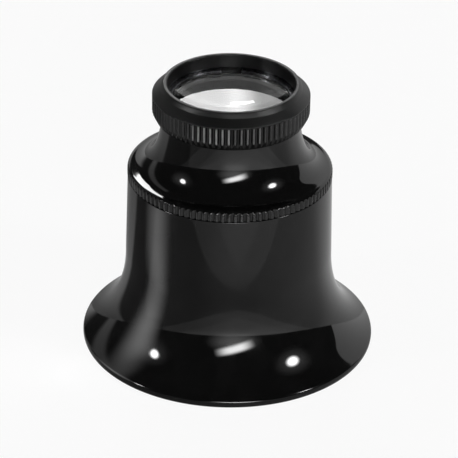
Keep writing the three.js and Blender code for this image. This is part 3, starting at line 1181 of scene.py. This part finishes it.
@dataclass
class LensRing:
    """The coarse-knurled cell of the front lens, with its lens and spring ring.

    Sizes in millimetres. Heights are measured from the seat on the neck.
    """

    height: float = 4.47
    foot_radius: float = 8.96
    foot_height: float = 0.93
    grip_radius: float = 9.43
    grip_height: float = 2.13
    shoulder: float = 0.12
    knee_radius_share: float = 0.74
    knee_height_share: float = 0.57
    lip_radius: float = 8.22
    lip_round: float = 0.12
    bore: float = 7.55
    mouth: float = 7.65
    mouth_depth: float = 2.35
    screw_radius: float = 7.3
    screw_length: float = 3.5
    skirt_wall: float = 0.8
    lead: float = 0.25
    thread_end: float = 0.12
    lens: Lens = Lens("front_lens", "front_optic", 7.45)
    clip_height: float = 0.45
    clip_width: float = 0.75
    clip_groove: float = 0.35
    clip_split: float = 2.6
    clip_columns: int = 181
    grooves: int = 80
    groove_depth: float = 0.42
    groove_land_share: float = 0.2
    groove_phase: float = -0.26
    groove_foot: float = 0.01
    groove_end_rows: Triple = (-0.04, -0.01, 0.01)
    roughness: float = 0.2
    face_roughness: float = 0.2

    def __post_init__(self) -> None:
        """Works out the heights of the seats from the frame and the sizes above."""
        self.seat = low_and_top("lens_ring")[0] + self.screw_length
        self.grip_top = self.foot_height + self.grip_height
        self.knurl_top = self.grip_top - self.shoulder
        self.lens_top = self.height - self.mouth_depth
        self.clip_low = self.lens_top + SEAT_GAP
        self.groove_top = self.clip_low + self.clip_height + SEAT_GAP
        self.groove_radius = self.bore + self.clip_groove

    def outline(self) -> np.ndarray:
        """The whole section of the ring.

        Returns:
            An array of (radius, height).
        """
        cone_foot = self.grip_radius - self.shoulder
        knee_radius = cone_foot - (cone_foot - self.lip_radius) * self.knee_radius_share
        knee_height = self.grip_top + (self.height - self.grip_top) * self.knee_height_share
        skirt = self.screw_radius - self.skirt_wall
        seat_top = self.lens_top - self.lens.edge - SEAT_GAP
        return section([
            Bend(self.foot_radius, 0, Edge.EASED, rows=3),
            Bend(self.grip_radius, self.foot_height, Edge.ROUND, rows=2),
            *[Bend(self.grip_radius, self.knurl_top + shift) for shift in self.groove_end_rows],
            Bend(self.grip_radius, self.grip_top, Edge.EASED),
            Bend(cone_foot, self.grip_top + self.shoulder, Edge.CUT),
            Bend(knee_radius, knee_height, Edge.KNEE),
            Bend(self.lip_radius, self.height - self.lip_round, Edge.BLUNT),
            Bend(self.lip_radius - self.lip_round, self.height, Edge.BLUNT),
            Bend(self.mouth + self.lip_round, self.height, Edge.SOFT),
            Bend(self.mouth, self.height - self.lip_round, Edge.SOFT),
            Bend(self.mouth, self.groove_top, Edge.CUT),
            Bend(self.groove_radius, self.groove_top, Edge.CUT),
            Bend(self.groove_radius, self.lens_top, Edge.CUT),
            Bend(self.bore, self.lens_top, Edge.CUT),
            Bend(self.bore, seat_top, Edge.BROKEN),
            Bend(skirt, seat_top - self.lens.rise(skirt), Edge.SOFT, rows=4),
            Bend(skirt, -self.screw_length, Edge.SOFT),
            Bend(self.screw_radius - self.lead, -self.screw_length, Edge.EASED),
            Bend(self.screw_radius, self.lead - self.screw_length, rows=54),
            Bend(self.screw_radius, 0, Edge.EASED),
        ])

    def build_body(self) -> None:
        """Makes the ring itself."""
        grip = StraightKnurl(
            count=self.grooves,
            radius=self.grip_radius,
            depth=self.groove_depth,
            low=-self.groove_foot,
            high=self.knurl_top,
            land_share=self.groove_land_share,
            phase=self.groove_phase,
        )
        ends = (-self.screw_length - self.lead, -self.thread_end)
        thread = ScrewThread(NECK_SCREW, self.screw_radius, *ends)
        body = turned_object("lens_ring_body", self.outline(), grip.columns(), [grip, thread], self.seat)
        top = self.seat + self.knurl_top
        # The knurl's crests are worn and carry a painted highlight where they face the front lamps.
        crest_wear_and_highlight = CrestWearAndHighlight(self.grip_radius, top, face_roughness=self.face_roughness)
        finish = MouldedPlastic("satin_black_ring", roughness=self.roughness, crest_wear_and_highlight=crest_wear_and_highlight)
        settle(body, finish, "lens_ring", "lens_ring")

    def build_clip(self) -> None:
        """Makes the split spring ring that holds the lens down."""
        outer = self.groove_radius - LENS_GAP
        inner = outer - self.clip_width
        top = self.clip_low + self.clip_height
        corners = ((inner, self.clip_low), (outer, self.clip_low), (outer, top), (inner, top))
        outline = section([Bend(radius, height, Edge.ROUND) for radius, height in corners])
        half_gap = math.asin(self.clip_split / 2 / outer)
        start = math.pi / 2 + half_gap
        columns = np.linspace(start, start + FULL_TURN - 2 * half_gap, self.clip_columns)
        clip = turned_object("front_lens_spring", outline, columns, lift=self.seat, whole_turn=False)
        settle(clip, SpringSteel(), "lens_ring", "front_lens_clip")

    def build(self) -> None:
        """Makes every piece that the ring carries."""
        self.build_body()
        self.lens.build(self.seat + self.lens_top, flat_up=True)
        self.build_clip()


def sheet(name: str, material: bpy.types.Material, size: Pair, place: Matrix, seen: bool) -> None:
    """Adds a flat rectangle to the studio, across the X and Y axes of its frame.

    Args:
        name: The rectangle's name.
        material: Its material.
        size: Width and height in metres.
        place: Its frame.
        seen: Whether the camera sees it.
    """
    half_width, half_height = size[0] / 2, size[1] / 2
    corners = [(half_width * x, half_height * y, 0) for x, y in ((-1, -1), (1, -1), (1, 1), (-1, 1))]
    mesh = bpy.data.meshes.new(name)
    mesh.from_pydata(corners, [], [(0, 1, 2, 3)])
    mesh.materials.append(material)
    made = bpy.data.objects.new(name, mesh)
    made.matrix_world = place
    made.visible_camera = seen
    bpy.context.scene.collection.objects.link(made)


class Fade(Enum):
    """How a card's glow fades out."""

    SQUARE = "towards all four edges"
    ROUND = "away from the middle"
    SIDES = "towards the left and right edges"
    UPWARD = "towards the left and right edges and the top"


@dataclass(frozen=True)
class Glow:
    """Light that a card adds to what is behind it. The card is hidden from the camera.

    Strength is the brightness in the middle, where 1 is white. The rest are shares of the card: soft
    is where the glow fades out, foot is the part of the height over which it fades out towards the
    lower edge as well, and corner is what the round of the upper left corner takes.
    """

    strength: float
    soft: float = 0.2
    fade: Fade = Fade.SQUARE
    foot: float = 0.0
    corner: float = 0.0

    def between_edges(self, along: Wire) -> Wire:
        """Fades out towards both ends of a direction, in which the card goes from 0 to 1."""
        return along.ramp(0.0, self.soft / 2) * along.ramp(1.0, 1.0 - self.soft / 2)

    def level(self, graph: Graph) -> Wire:
        """The brightness over the card.

        Args:
            graph: The graph of the card's material.

        Returns:
            The brightness as a Wire.
        """
        spot = graph.node("ShaderNodeTexCoord", out="Generated")
        x, y, _ = graph.split(spot)
        if self.fade is Fade.ROUND:
            middle = {0: spot, 1: (0.5, 0.5, 0.0)}
            way = graph.node("ShaderNodeVectorMath", {"operation": "SUBTRACT"}, middle)
            level = graph.reach(way).ramp(0.5, 0.5 - self.soft / 2) * self.strength
        else:
            level = self.between_edges(x) * self.strength
        if self.fade is Fade.SQUARE:
            level = level * self.between_edges(y)
        if self.fade is Fade.UPWARD:
            level = level * y.ramp(1.0, 0.5)
        if self.foot:
            level = level * y.ramp(0.0, self.foot)
        if self.corner:
            left = (self.corner - x).at_least(0.0) / self.corner
            above = (y - (1 - self.corner)).at_least(0.0) / self.corner
            level = level * (left * left + above * above).ramp(1.0, 1.0 - self.soft)
        return level

    def card(self, name: str, size: Pair, place: Matrix) -> None:
        """Puts up a card with this glow.

        Args:
            name: The card's name.
            size: Width and height in metres.
            place: The card's frame. The card lies across its X and Y axes.
        """
        material, graph = new_material(name + "_glow")
        light = graph.emission(self.level(graph))
        graph.show(graph.node("ShaderNodeAddShader", inputs={0: light, 1: graph.clear()}))
        sheet(name, material, size, place, seen=False)


@dataclass(frozen=True)
class Panel:
    """A lamp or wall of the studio, placed by its direction from the object.

    Azimuth is in degrees, 0 towards the camera and positive to the right. The width and height are
    in degrees as the object sees them, the tilt is in degrees and the distance in metres.
    """

    name: str
    azimuth: float
    elevation: float
    width: float
    height: float
    glow: Glow
    tilt: float = 0.0
    distance: float = 3.0

    def across(self, angle: float) -> float:
        """The length that takes up an angle in degrees at the panel's distance."""
        return 2 * self.distance * math.tan(math.radians(angle / 2))

    def build(self, centre: Vector) -> None:
        """Puts the panel where its direction says.

        Args:
            centre: The point that the directions are measured from, in metres.
        """
        a, e = math.radians(self.azimuth), math.radians(self.elevation)
        ahead = Vector((math.sin(a) * math.cos(e), -math.cos(a) * math.cos(e), math.sin(e)))
        level = Vector((-ahead.y, ahead.x, 0.0)).normalized()
        right = Matrix.Rotation(math.radians(self.tilt), 3, ahead) @ level
        axes = Matrix((right, ahead.cross(right), -ahead)).transposed().to_4x4()
        place = Matrix.Translation(centre + ahead * self.distance) @ axes
        self.glow.card(self.name, (self.across(self.width), self.across(self.height)), place)


@dataclass(frozen=True)
class StandingCard:
    """A small white card on the table, close to the object and out of the picture.

    Sizes in millimetres. It stands along the line of sight of the camera.
    """

    name: str
    spot: Pair
    width: float
    height: float
    glow: Glow

    def build(self) -> None:
        """Stands the card on the table."""
        lift = Matrix.Translation(Vector((*self.spot, self.height / 2)) * MM)
        quarter = math.pi / 2
        upright = Matrix.Rotation(quarter, 4, "Z") @ Matrix.Rotation(quarter, 4, "X")
        self.glow.card(self.name, (self.width * MM, self.height * MM), lift @ upright)


@dataclass(frozen=True)
class LightWedge:
    """A painted pool of light on the table in front, with a corner towards the object. Sizes in
    millimetres.
    """

    corner: Pair
    left_slope: float
    right_slope: float
    soft: float
    rise: float

    def at(self, x: Wire, y: Wire) -> Wire:
        """How much the wedge adds at a place on the table.

        Args:
            x: The place's X in metres.
            y: The place's Y in metres.

        Returns:
            The amount as a Wire.
        """
        ahead = self.corner[1] - y / MM
        aside = x / MM - self.corner[0]
        left = ahead + aside * self.left_slope
        right = ahead - aside * self.right_slope
        return left.at_most(right).ramp(0.0, self.soft) * self.rise


@dataclass(frozen=True)
class Patch:
    """A painted pool of light or painted shade on the table, by direction and distance in millimetres."""

    hill: Hill
    inner: Pair
    outer: Pair = (9000.0, 8000.0)

    def at(self, azimuth: Wire, reach: Wire) -> Wire:
        """How much the patch adds at a place on the table."""
        return self.hill.at(azimuth) * reach.ramp(*self.inner) * reach.ramp(*self.outer)


@dataclass(frozen=True)
class TableGlow:
    """Painted light and painted shadow on the table, seen only in the polished shell, by direction and
    distance from the object.
    """

    level: float = 0.4
    least: float = 0.05
    hills: tuple[Hill, ...] = (
        Hill(-42.0, 50.0, 44.0, -0.24),
        Hill(-141.0, 34.0, 26.0, -0.15),
        Hill(130.0, 40.0, 24.0, 0.2),
        Hill(-172.0, 8.0, 8.0, 0.15),
    )
    wedges: tuple[LightWedge, ...] = (
        LightWedge((9.0, -36.0), 0.21, -0.04, 1.6, 0.19),
        LightWedge((7.0, -41.0), 0.77, 0.26, 5.0, 0.12),
        LightWedge((7.0, -44.0), 0.9, 0.4, 60.0, 0.2),
    )
    patches: tuple[Patch, ...] = (
        Patch(Hill(-97.0, 20.0, 8.0, -0.42), (18.0, 27.0)),
        Patch(Hill(-78.0, 18.0, 8.0, -0.26), (54.0, 64.0)),
        Patch(Hill(-135.0, 9.0, 12.0, 0.34), (0.0, 1.0), (33.0, 20.0)),
        Patch(Hill(45.0, 35.0, 20.0, 0.15), (45.0, 90.0)),
        Patch(Hill(8.0, 26.0, 22.0, 1.0), (65.0, 300.0)),
    )
    # Painted shadow of the object on the table in front of it.
    shade: Patch = Patch(Hill(5.0, 60.0, 50.0, 0.3), (44.0, 34.0))

    def strength(self, graph: Graph) -> Wire:
        """The brightness at each place of the table.

        Args:
            graph: The graph of the table's material.

        Returns:
            The brightness as a Wire.
        """
        point = graph.object_point()
        x, y, _ = graph.split(point)
        reach = graph.reach(point) / MM
        azimuth = graph.azimuth(point)
        level = self.level
        for hill in self.hills:
            level = level + hill.at(azimuth)
        for wedge in self.wedges:
            level = level + wedge.at(x, y)
        for patch in self.patches:
            level = level + patch.at(azimuth, reach)
        shade = 1 - self.shade.at(azimuth, reach)
        return (level * shade).at_least(self.least)


@dataclass
class Studio:
    """The white table, the dim room and the lamps round the object. Lengths in metres."""

    centre: Vector = field(default_factory=lambda: Vector((0.0, 0.0, 0.012)))
    table_width: float = 6.4
    table_drop: float = 0.00002
    table_tone: float = 0.8
    table_white: float = 0.92
    room_glow: float = 0.04
    below_glow: float = 0.7
    horizon: Pair = (-0.02, -0.06)
    glow: TableGlow = TableGlow()
    panels: tuple[Panel, ...] = (
        Panel("front_bar", 8.0, 13.8, 42.0, 13.0, Glow(20.0, 0.8), tilt=-19.0),
        Panel("bar_halo", 7.0, 6.0, 60.0, 30.0, Glow(1.6, 1.0, Fade.ROUND), distance=3.1),
        Panel("left_lamp", -71.5, 26.5, 10.5, 13.5, Glow(50.0, 0.9, Fade.ROUND)),
        Panel("left_halo", -74.0, 24.0, 38.0, 38.0, Glow(0.5, 1.0, Fade.ROUND), distance=3.1),
        Panel("right_lamp", 65.2, 31.5, 14.0, 15.5, Glow(50.0, 0.9, Fade.ROUND)),
        Panel("right_halo", 66.0, 32.0, 38.0, 38.0, Glow(0.7, 1.0, Fade.ROUND), distance=3.1),
        Panel("key_box", -168.5, 36.2, 20.0, 9.6, Glow(12.0, 0.08)),
        Panel("key_skirt", -178.0, 28.2, 5.2, 7.4, Glow(5.8, 0.3)),
        Panel("key_spill", 177.2, 27.4, 5.8, 5.4, Glow(2.6, 0.3)),
        Panel("right_wall", 141.0, 18.5, 56.0, 39.0, Glow(0.8, 0.03, corner=0.42), distance=3.1),
        Panel("back_wall", -167.0, 10.0, 42.0, 24.0, Glow(0.65, 0.5, Fade.SIDES), distance=3.1),
        Panel("left_strip", -128.5, 24.0, 16.0, 56.0, Glow(0.36, 0.7, Fade.SIDES), distance=3.1),
    )
    cards: tuple[StandingCard, ...] = (
        StandingCard("left_card", (-19.6, -10.7), 11.0, 12.4, Glow(1.25, 1.0, Fade.UPWARD)),
        StandingCard("left_far_card", (-30.0, -10.5), 21.0, 18.0, Glow(1.25, 1.0, Fade.UPWARD, 0.36)),
    )

    def seen_white(self, graph: Graph) -> Wire:
        """1 where the camera looks straight or through glass, otherwise 0."""
        return (graph.ray("Is Camera Ray") + graph.ray("Is Transmission Ray")).at_most(1.0)

    def world(self) -> None:
        """White to the camera and through glass, a dim room to everything else."""
        world = bpy.data.worlds.new("dim_room")
        bpy.context.scene.world = world
        world.use_nodes = True
        graph = Graph(world.node_tree)
        _, _, up = graph.split(graph.node("ShaderNodeTexCoord", out="Generated"))
        dim = self.room_glow + up.ramp(*self.horizon) * (self.below_glow - self.room_glow)
        white = self.seen_white(graph)
        inputs = {"Color": grey(1.0), "Strength": white + (1 - white) * dim}
        graph.show(graph.node("ShaderNodeBackground", inputs=inputs), "ShaderNodeOutputWorld")

    def table(self) -> None:
        """A pale table, white to the camera, that keeps a soft shadow and is clear from below."""
        material, graph = new_material("pale_table")
        matt = graph.node("ShaderNodeBsdfDiffuse", inputs={"Color": grey(self.table_tone)})
        white = self.seen_white(graph) * self.table_white
        paper = graph.node("ShaderNodeMixShader", inputs={0: white, 1: matt, 2: graph.emission(1.0)})
        mirrored = graph.ray("Is Glossy Ray") * self.table_white
        glow = graph.emission(self.glow.strength(graph))
        shown = graph.node("ShaderNodeMixShader", inputs={0: mirrored, 1: paper, 2: glow})
        back = graph.node("ShaderNodeNewGeometry", out="Backfacing")
        graph.show(graph.node("ShaderNodeMixShader", inputs={0: back, 1: shown, 2: graph.clear()}))
        place = Matrix.Translation((0.0, 0.0, -self.table_drop))
        sheet("table", material, (self.table_width, self.table_width), place, seen=True)

    def build(self) -> None:
        """Sets up the whole studio."""
        self.world()
        self.table()
        for card in self.cards:
            card.build()
        for panel in self.panels:
            panel.build(self.centre)


@dataclass
class PhotoCamera:
    """The camera of the photograph, as found from the outline of the object.

    Lengths in millimetres, angles in degrees, the clipping distances in metres.
    """

    elevation: float = 28.71
    distance: float = 308.713
    focal_pixels: float = 2534.181
    roll: float = -0.987
    aim_height: float = 18.0
    aim_pixel: Pair = (228.968, 203.288)
    frame_pixels: float = 458.0
    sensor: float = 36.0
    clip_start: float = 0.02
    clip_end: float = 20.0

    def place(self) -> Matrix:
        """Where the camera stands and how it is turned.

        Returns:
            The camera's frame, in metres.
        """
        e = math.radians(self.elevation)
        ahead = Vector((0.0, math.cos(e), -math.sin(e)))
        right = Vector((1.0, 0.0, 0.0))
        up = right.cross(ahead)
        spot = Vector((0.0, 0.0, self.aim_height)) - ahead * self.distance
        middle = self.frame_pixels / 2
        across = (middle - self.aim_pixel[0]) / self.focal_pixels
        down = (middle - self.aim_pixel[1]) / self.focal_pixels
        ahead = (ahead + right * across - up * down).normalized()
        right = ahead.cross(up).normalized()
        up = right.cross(ahead)
        roll = math.radians(self.roll)
        side = right * math.cos(roll) - up * math.sin(roll)
        top = right * math.sin(roll) + up * math.cos(roll)
        axes = Matrix((side, top, -ahead)).transposed().to_4x4()
        return Matrix.Translation(spot * MM) @ axes

    def build(self) -> None:
        """Makes the camera and gives it to the scene."""
        data = bpy.data.cameras.new("photo_camera")
        data.sensor_width = self.sensor
        data.lens = self.focal_pixels / self.frame_pixels * self.sensor
        data.clip_start = self.clip_start
        data.clip_end = self.clip_end
        camera = bpy.data.objects.new("photo_camera", data)
        camera.matrix_world = self.place()
        bpy.context.scene.collection.objects.link(camera)
        bpy.context.scene.camera = camera


def main() -> None:
    """Builds the camera, the studio and every piece of the loupe."""
    logging.basicConfig(level=logging.INFO, format="%(name)s: %(message)s")
    bpy.context.scene.view_settings.view_transform = "Standard"
    for part in (PhotoCamera(), Studio(), Eyecup(), NeckCap(), LensRing()):
        part.build()


if __name__ == "__main__":
    main()
